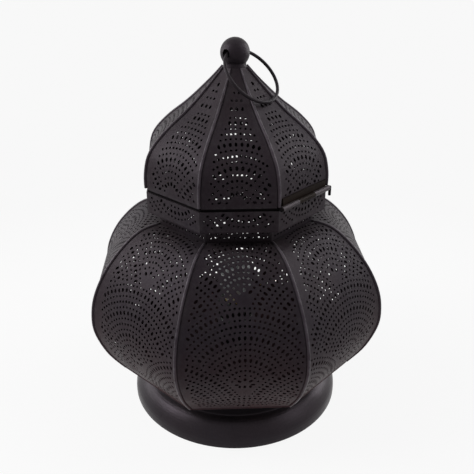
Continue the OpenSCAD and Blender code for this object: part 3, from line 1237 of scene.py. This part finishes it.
@dataclass
class Collar:
    """The pierced eight-sided band, the lip inside its top and the pierced neck below it.

    Attributes:
        radius: across the corners.
        low: height of the band's lower edge.
        height: of the band.
        thickness: of the sheet.
        fans: the pierced pattern, which hangs upside down.
        blank: where the pattern lies.
        bands: plain bands at the sides, below and above it.
        lip_r: radius of the lip across the corners, clear of the lid's hem.
        lip_top: height of the lip's upper edge.
        lip_t: thickness of the lip.
        lip_low: how far below the band's top the lip starts, inside it.
        lip_bend: how far below the band's top it turns inwards.
        neck_r: radius of the neck across the corners.
        neck_low: height of the neck's lower edge, inside the body.
        neck_rows: its rows of holes.
        neck_blank: where they lie.
        neck_bands: plain bands at the sides, below and above them.
        flange_t: thickness of the flange that carries the band.
    """

    radius: float = 60 * MM
    low: float = 149.7 * MM
    height: float = 12.6 * MM
    thickness: float = 0.8 * MM
    fans: Fans = Fans(((0, -72.4), (49.3, -42.4), (0, -12.4)))
    blank: Blank = Blank(2.5, 0.0, 0.0)
    bands: tuple[float, float, float] = (2.6 * MM, 1.7 * MM, 1.7 * MM)
    lip_r: float = 58.7 * MM
    lip_top: float = 164.5 * MM
    lip_t: float = 0.75 * MM
    lip_low: float = 3.2 * MM
    lip_bend: float = 0.8 * MM
    neck_r: float = 52 * MM
    neck_low: float = 135.5 * MM
    neck_rows: tuple[Row, ...] = (Row(6.6, 13, 2.9, Dot.SMALL), Row(9.6, 12, 3.1, Dot.MEDIUM))
    neck_blank: Blank = Blank(0.6, 0.0, 0.0)
    neck_bands: tuple[float, float, float] = (1.5 * MM, 1 * MM, 1 * MM)
    flange_t: float = 0.8 * MM

    def ring(self, name: str, radius: float, low: float, height: float, bands: tuple[float, float, float],
             holes: list[Hole], node: str, steps: int = 7) -> None:
        """Builds eight pierced upright sides as one piece.

        Args:
            name: the piece's name.
            radius: across the corners.
            low: height of the lower edge.
            height: of the sides.
            bands: plain bands at the sides, below and above.
            holes: the pattern on a side, from its lower edge.
            node: the CAD node that it stands for.
            steps: how many points its upright curve has.
        """
        flat = radius * FLAT
        along = np.linspace(0, height, steps)
        sheet = FlatSheet(along, np.full(steps, flat * math.tan(HALF)), *bands)
        curve = np.stack([np.full(steps, flat), along + low], 1)
        kept = sheet.kept(holes)
        LOG.info("%s: %d holes", name, SIDES * len(kept))
        side = folded(sheet, kept, curve, self.thickness)
        whole = side
        for i in range(1, SIDES):
            whole = whole.joined(side.turned(i * TURN))
        whole.object(name, SHEET_COAT, Body.LANTERN, node)

    def band(self) -> None:
        """Builds the band."""
        holes = [(x, self.height - y, -a, dot) for x, y, a, dot in self.fans.holes(self.blank)]
        self.ring("pierced_collar", self.radius, self.low, self.height, self.bands, holes, "collar")

    def neck(self) -> None:
        """Builds the neck, and the flange on it that carries the band."""
        holes = [hole for row in self.neck_rows for hole in row.holes(self.neck_blank)]
        top = self.low - self.flange_t
        height = top - self.neck_low
        self.ring("pierced_neck", self.neck_r, self.neck_low, height, self.neck_bands, holes, "neck")
        inner = self.neck_r - self.thickness / FLAT
        flange = [(inner, top), (self.radius, top), (self.radius, self.low), (inner, self.low)]
        self.octagon("collar_flange", flange, SHEET_COAT)

    def lip(self) -> None:
        """Builds the lip that closes the gap under the lid, in a near-black coat that paints the shade seen
        in that gap.
        """
        wall = self.radius - self.thickness / FLAT
        top = self.low + self.height
        line = [(wall, top - self.lip_low), (wall, top - self.lip_bend), (self.lip_r, top),
                (self.lip_r, self.lip_top)]
        self.octagon("collar_lip", line + [(r - self.lip_t, z) for r, z in line[::-1]], PAINTED_SHADE_COAT)

    def octagon(self, name: str, section: list[tuple[float, float]], finish: Finish) -> None:
        """Builds an eight-sided ring from its section across the corners."""
        ring = revolved(section, around(SIDES) + HALF - math.pi / 2)
        sharpened(ring.object(name, finish, Body.LANTERN), 20.0)

    def build(self) -> None:
        """Builds the band, the neck and the lip."""
        self.band()
        self.neck()
        self.lip()


@dataclass
class Foot:
    """The spun foot with the floor plate, base cover and cable bush.

    Attributes:
        bush_edge: width of the bush's softened edges.
    """

    bush_edge: float = 0.4 * MM

    def build(self) -> None:
        """Dresses the nodes."""
        dress_node("foot", FOOT_COAT)
        dress_node("floor_plate", SHEET_COAT)
        dress_node("base_cover", BLACK_FELT)
        dress_node("cable_bush", NYLON, self.bush_edge)


@dataclass
class LidFittings:
    """The hinge, hem, tongue and finial.

    Attributes:
        neck_r: radius of the neck under the ball.
        neck_low: height of its lower end, inside the lid.
        neck_top: height of its upper end, inside the ball.
        neck_bevel: width of the bevel at its lower end.
        bead_h: height of its full part.
        waist_h: height at which its waist starts, above the lower end.
        waist: radius of the waist as a share of the neck's.
        stud_r: radius of the stud that runs through it.
    """

    neck_r: float = 7.2 * MM
    neck_low: float = 230.0 * MM
    neck_top: float = 236.7 * MM
    neck_bevel: float = 0.6 * MM
    bead_h: float = 3.4 * MM
    waist_h: float = 4.6 * MM
    waist: float = 0.94
    stud_r: float = 2.5 * MM

    def neck(self, corners: int = 64) -> None:
        """Builds the turned neck in the lid's point under the ball.

        Args:
            corners: how many corners its round has.
        """
        waist, low, bevel = self.waist * self.neck_r, self.neck_low, self.neck_bevel
        line = [(self.stud_r, low), (self.neck_r - bevel, low), (self.neck_r, low + bevel),
                (self.neck_r, low + self.bead_h), (waist, low + self.waist_h), (waist, self.neck_top),
                (self.stud_r, self.neck_top)]
        turned = revolved(line, around(corners))
        sharpened(turned.object("finial_neck", SPUN_COAT, Body.LID, "finial_cap"), 30.0)

    def build(self) -> None:
        """Dresses the nodes and builds the neck."""
        dress_node("hinge_leaf_body", HINGE_COAT)
        dress_node("hinge_leaf_lid", LEAF_COAT)
        # The hinge pin is near-black: painted shade.
        dress_node("hinge_pin", PAINTED_SHADE_COAT)
        dress_node("lid_hem", SHEET_COAT)
        dress_node("finial_ball", SPUN_COAT)
        dress_node("carrying_ring", RING_COAT)
        for name in ("lid_tongue", "finial_stud", "finial_nut", "finial_washer"):
            dress_node(name, ZINC)
        self.neck()


@dataclass
class LampInsert:
    """The lampholder and bulb inside the body.

    Attributes:
        holder_edge: width of the holder's softened edges.
        cap_r: radius of the bulb's screw cap.
        cap_low: height of the cap's straight part.
        thread_up: how far above it the thread starts.
        thread_turns: number of the thread's turns.
        thread_pitch: rise of one turn.
        thread_r: half the thread's width across.
        thread_flat: its height as a multiple of its width.
        thread_sunk: how far the middle of its section lies in the cap.
        leg_low: height of the filament's legs at their foot.
        leg_bend: height at which the legs start to part.
        leg_rise: height over which they part.
        leg_foot: how far each stands from the axis at its foot.
        leg_spread: how much further it stands at its top.
        filament_z: height of the filament.
        filament_r: radius of its wire.
        coil_turns: number of the coil's turns.
        coil_half: half the coil's length.
        coil_r: radius of the coil.
        coil_wire: radius of its wire as a share of the legs'.
    """

    holder_edge: float = 0.3 * MM
    cap_r: float = 7.0 * MM
    cap_low: float = 53.0 * MM
    thread_up: float = 1.6 * MM
    thread_turns: float = 4.2
    thread_pitch: float = 2.8 * MM
    thread_r: float = 0.45 * MM
    thread_flat: float = 1.6
    thread_sunk: float = 0.05 * MM
    leg_low: float = 70 * MM
    leg_bend: float = 72 * MM
    leg_rise: float = 16 * MM
    leg_foot: float = 1.6 * MM
    leg_spread: float = 3.4 * MM
    filament_z: float = 92 * MM
    filament_r: float = 0.25 * MM
    coil_turns: int = 11
    coil_half: float = 5 * MM
    coil_r: float = 0.7 * MM
    coil_wire: float = 0.6

    def thread(self, steps: int = 28) -> None:
        """Builds the rolled thread round the bulb's cap.

        Args:
            steps: how many points a turn has.
        """
        t = np.linspace(0, self.thread_turns * 2 * math.pi, int(self.thread_turns * steps))
        radius = self.cap_r - self.thread_sunk
        rise = self.cap_low + self.thread_up + self.thread_pitch * t / (2 * math.pi)
        path = np.stack([radius * np.cos(t), radius * np.sin(t), rise], 1)
        outward = np.stack([np.cos(t), np.sin(t), 0 * t], 1)
        k = around(8)
        section = np.stack([self.thread_r * np.cos(k), self.thread_r * self.thread_flat * np.sin(k)], 1)
        rolled = swept(path, outward, np.tile(UP, (len(t), 1)), section[::-1])
        sharpened(rolled.object("bulb_cap_thread", BRASS, Body.LANTERN))

    def leg(self, side: int, section: np.ndarray, steps: int = 12) -> Shape:
        """Bends one of the wires that hold the filament.

        Args:
            side: -1 for the left one and 1 for the right one.
            section: of the wire.
            steps: how many points it has.

        Returns:
            The wire.
        """
        z = np.linspace(self.leg_low, self.filament_z, steps)
        parted = np.clip((z - self.leg_bend) / self.leg_rise, 0, 1) ** 1.5
        x = side * (self.leg_foot + self.leg_spread * parted)
        path = np.stack([x, 0 * x, z], 1)
        return swept(path, np.tile(RIGHT, (steps, 1)), np.tile((0.0, 1.0, 0.0), (steps, 1)), section)

    def filament(self, steps: int = 10) -> None:
        """Builds the two legs and the coiled filament.

        Args:
            steps: how many points a turn of the coil has.
        """
        k = around(6)
        section = np.stack([self.filament_r * np.cos(k), self.filament_r * np.sin(k)], 1)
        t = np.linspace(0, 1, self.coil_turns * steps + 1)
        a = t * self.coil_turns * 2 * math.pi
        path = np.stack([(t * 2 - 1) * self.coil_half, self.coil_r * np.cos(a),
                         self.filament_z + self.coil_r * np.sin(a)], 1)
        outward = np.stack([0 * a, np.cos(a), np.sin(a)], 1)
        coil = swept(path, outward, np.tile(RIGHT, (len(a), 1)), self.coil_wire * section)
        whole = self.leg(-1, section).joined(self.leg(1, section)).joined(coil)
        whole.object("bulb_filament", TUNGSTEN, Body.LANTERN)

    def build(self) -> None:
        """Dresses the nodes and adds the thread and filament."""
        for name in ("lamp_nipple", "nipple_nut", "bulb_cap"):
            dress_node(name, BRASS)
        dress_node("nipple_washer", ZINC)
        dress_node("lampholder", PHENOLIC, self.holder_edge)
        dress_node("holder_contact", CERAMIC)
        dress_node("bulb_glass", BULB_GLASS)
        self.thread()
        self.filament()


# ----------------------------------------------------------------------- studio


@dataclass(frozen=True)
class Softbox:
    """A lamp that faces the lantern.

    Attributes:
        name: the lamp's name.
        place: where it stands.
        size: width and height.
        power: in watts.
    """

    name: str
    place: Place
    size: tuple[float, float]
    power: float


SOFTBOXES = (
    Softbox("left_softbox", (-0.748, -0.105, 0.61), (0.35, 0.5), 4.6),
    Softbox("left_rim_softbox", (-0.816, 0.380, 0.45), (0.5, 0.7), 4.0),
    Softbox("right_softbox", (0.762, -0.324, 0.47), (0.35, 0.5), 1.2),
    Softbox("right_rim_softbox", (0.816, 0.380, 0.45), (0.5, 0.7), 5.3),
    Softbox("top_softbox", (0.0, 0.05, 1.1), (0.7, 0.5), 0.6),
    Softbox("left_front_softbox", (-0.536, -0.160, 0.82), (0.25, 0.25), 0.9),
    Softbox("right_front_softbox", (0.562, -0.130, 0.81), (0.25, 0.25), 1.4))


@dataclass
class Studio:
    """Camera, lamps, floor and background.

    Attributes:
        back: distance from the lantern's axis to the camera, along the floor.
        up: height of the camera.
        turn: how far the camera stands to the left of the front, in degrees.
        pitch: how far the camera looks down, in degrees.
        lens: focal length in millimetres.
        film: width of the picture, in millimetres as for the lens.
        shift: of the picture, as a share of its width.
        seen_from: nearest and furthest distance that the camera sees.
        pale: colour of the floor and background.
        aim: the point that the lamps face.
        floor_half: half the floor's width.
        near: distances from the lantern between which the floor's own light changes.
        near_glow: strength of that light next to the lantern.
        near_share: how far it hides the lantern's shadow there.
        fill: strength of the background as a light.
    """

    back: float = 0.3993
    up: float = 0.3175
    turn: float = 2.5
    pitch: float = 26.45
    lens: float = 49.96
    film: float = 36.0
    shift: float = 2 / 474
    seen_from: tuple[float, float] = (0.01, 50.0)
    pale: Rgb = (0.938, 0.938, 0.938)
    aim: Place = (0.0, 0.0, 0.12)
    floor_half: float = 6.0
    near: tuple[float, float] = (0.16, 0.40)
    near_glow: float = 1.03
    near_share: float = 0.92
    fill: float = 0.05

    @staticmethod
    def placed(name: str, data: bpy.types.ID, place: Place, look: Vector) -> bpy.types.Object:
        """Places a camera or lamp.

        Args:
            name: its name.
            data: its camera or light.
            place: where it stands.
            look: the direction in which it looks.

        Returns:
            The object.
        """
        made = bpy.data.objects.new(name, data)
        made.location = place
        made.rotation_mode = "QUATERNION"
        made.rotation_quaternion = look.to_track_quat("-Z", "Y")
        bpy.context.scene.collection.objects.link(made)
        return made

    def camera(self) -> None:
        """Places the camera at the photograph's viewpoint."""
        a, e = math.radians(self.turn), math.radians(self.pitch)
        data = bpy.data.cameras.new("camera")
        data.lens, data.sensor_width, data.shift_x = self.lens, self.film, self.shift
        data.clip_start, data.clip_end = self.seen_from
        place = (-self.back * math.sin(a), -self.back * math.cos(a), self.up)
        look = Vector((math.sin(a) * math.cos(e), math.cos(a) * math.cos(e), -math.sin(e)))
        bpy.context.scene.camera = self.placed("camera", data, place, look)

    def lamps(self) -> None:
        """Places the softboxes."""
        for box in SOFTBOXES:
            data = bpy.data.lights.new(box.name, "AREA")
            data.shape, data.size, data.size_y, data.energy = "RECTANGLE", *box.size, box.power
            self.placed(box.name, data, box.place, Vector(self.aim) - Vector(box.place))

    def seen(self, tree: Tree) -> Socket:
        """Tells what looks at a surface.

        Args:
            tree: the tree of a material or world.

        Returns:
            One for the camera, a mirror or glass, and zero for other light.
        """
        path = tree.add("LightPath").outputs
        mirrored = tree.math("MAXIMUM", path["Is Glossy Ray"], path["Is Transmission Ray"])
        return tree.math("MAXIMUM", path["Is Camera Ray"], mirrored)

    def floor_material(self) -> bpy.types.Material:
        """Makes the pale floor's material, with a light of its own that keeps it as pale as the background.

        Returns:
            The material.
        """
        made = bpy.data.materials.new("pale_floor")
        made.use_nodes = True
        tree = Tree(made.node_tree)
        plain = tree.add("BsdfDiffuse", {"Color": colour(self.pale)}).outputs[0]
        place = tree.add("TexCoord").outputs["Object"]
        away = tree.add("VectorMath", {0: place}, operation="LENGTH").outputs["Value"]
        bright = tree.remap(away, *self.near, self.near_glow, 1.0)
        glow = tree.add("Emission", {"Color": colour(self.pale), "Strength": bright}).outputs[0]
        share = tree.math("MULTIPLY", self.seen(tree), tree.remap(away, *self.near, self.near_share, 1.0))
        mixed = tree.add("MixShader", {0: share, 1: plain, 2: glow}).outputs[0]
        tree.add("OutputMaterial", {"Surface": mixed})
        return made

    def floor(self) -> None:
        """Lays the pale floor."""
        half = self.floor_half
        corners = [(-half, -half, 0), (half, -half, 0), (half, half, 0), (-half, half, 0)]
        mesh = bpy.data.meshes.new("floor")
        mesh.from_pydata(corners, [], [(0, 1, 2, 3)])
        mesh.materials.append(self.floor_material())
        floor = bpy.data.objects.new("floor", mesh)
        bpy.context.scene.collection.objects.link(floor)

    def background(self) -> None:
        """Sets the pale background and its even light."""
        world = bpy.data.worlds.new("background")
        bpy.context.scene.world = world
        world.use_nodes = True
        tree = Tree(world.node_tree)
        strength = tree.remap(self.seen(tree), 0.0, 1.0, self.fill, 1.0)
        shown = tree.add("Background", {"Color": colour(self.pale), "Strength": strength}).outputs[0]
        tree.add("OutputWorld", {"Surface": shown})

    def build(self) -> None:
        """Builds the studio."""
        self.camera()
        self.lamps()
        self.floor()
        self.background()
        bpy.context.scene.view_settings.view_transform = "Standard"
        LOG.info("studio: camera, %d softboxes, floor and background", len(SOFTBOXES))


# ------------------------------------------------------------- the lantern's own sizes

BODY_SHARES = ((0.79, -0.03), (0.817, 0), (0.921, 0.146), (0.99, 0.317), (1, 0.45), (0.97, 0.595),
               (0.888, 0.75), (0.765, 0.89), (0.64, 0.977), (0.5, 1))
LID_SHARES = ((1, -0.04), (1, 0.145), (0.942, 0.335), (0.767, 0.512), (0.517, 0.69), (0.272, 0.895),
              (0.14, 1.02), (0.11, 1.055))
BODY_FANS = Fans(((0, -24.3), (50.2, 8.2), (0, 38.2), (49.3, 68.0), (0, 93.6), (49.3, 121.5)),
                 alone=(Row(36.3, 3, 3.2, Dot.LARGE),))
LID_FANS = Fans(((0, -48.5), (51.3, -18.5), (0, 6.9)), outer=51.8, step=3.57, alone=(
    Row(64.3, 3, 3.3, Dot.LARGE, 0.0), Row(70.0, 3, 2.7, Dot.MEDIUM, 0.0), Row(75.0, 2, 2.6, Dot.MEDIUM, 0.0),
    Row(79.5, 1, 0.0, Dot.LARGE, 0.0)))
BODY_BLANKS = (Blank(1.9, 0.0, 1.3), Blank(3.0, -2.0, 0.0, 0.12), Blank(0.6, 0.8, 0.8),
               Blank(-1.2, -0.6, -1.5), Blank(1.5, 0.3, 2.0), Blank(-0.4, -0.9, -0.6), Blank(1.0, 0.5, 1.1),
               Blank(1.6, 0.0, 2.9, -0.05))
LID_BLANKS = (Blank(-1.2, 0.0, 0.4), Blank(-1.7, 0.5, 0.0), Blank(-0.5, 0.4, -0.5), Blank(0.8, -0.5, 0.6),
              Blank(0.2, 0.3, 0.3), Blank(-0.7, 0.0, -0.4), Blank(0.5, -0.4, 0.5), Blank(0.3, 0.0, 1.7))


def main() -> None:
    """Builds the studio and every sub-assembly."""
    logging.basicConfig(level=logging.INFO, format="%(name)s: %(message)s")
    Studio().build()
    PanelledShell("body", SideCurve(BODY_SHARES, 101 * MM, 102.5 * MM, 37 * MM), Body.LANTERN,
                  low=37 * MM, inner=48.3 * MM, fans=BODY_FANS, blanks=BODY_BLANKS, margin=4.2 * MM,
                  low_band=3.5 * MM, high_band=0.8 * MM).build()
    PanelledShell("lid", SideCurve(LID_SHARES, 60 * MM, 67 * MM, 164.3 * MM), Body.LID,
                  low=164.3 * MM, inner=7.0 * MM, fans=LID_FANS, blanks=LID_BLANKS, margin=5.4 * MM,
                  low_band=3.5 * MM, high_band=6 * MM).build()
    Collar().build()
    Foot().build()
    LidFittings().build()
    LampInsert().build()


if __name__ == "__main__":
    main()
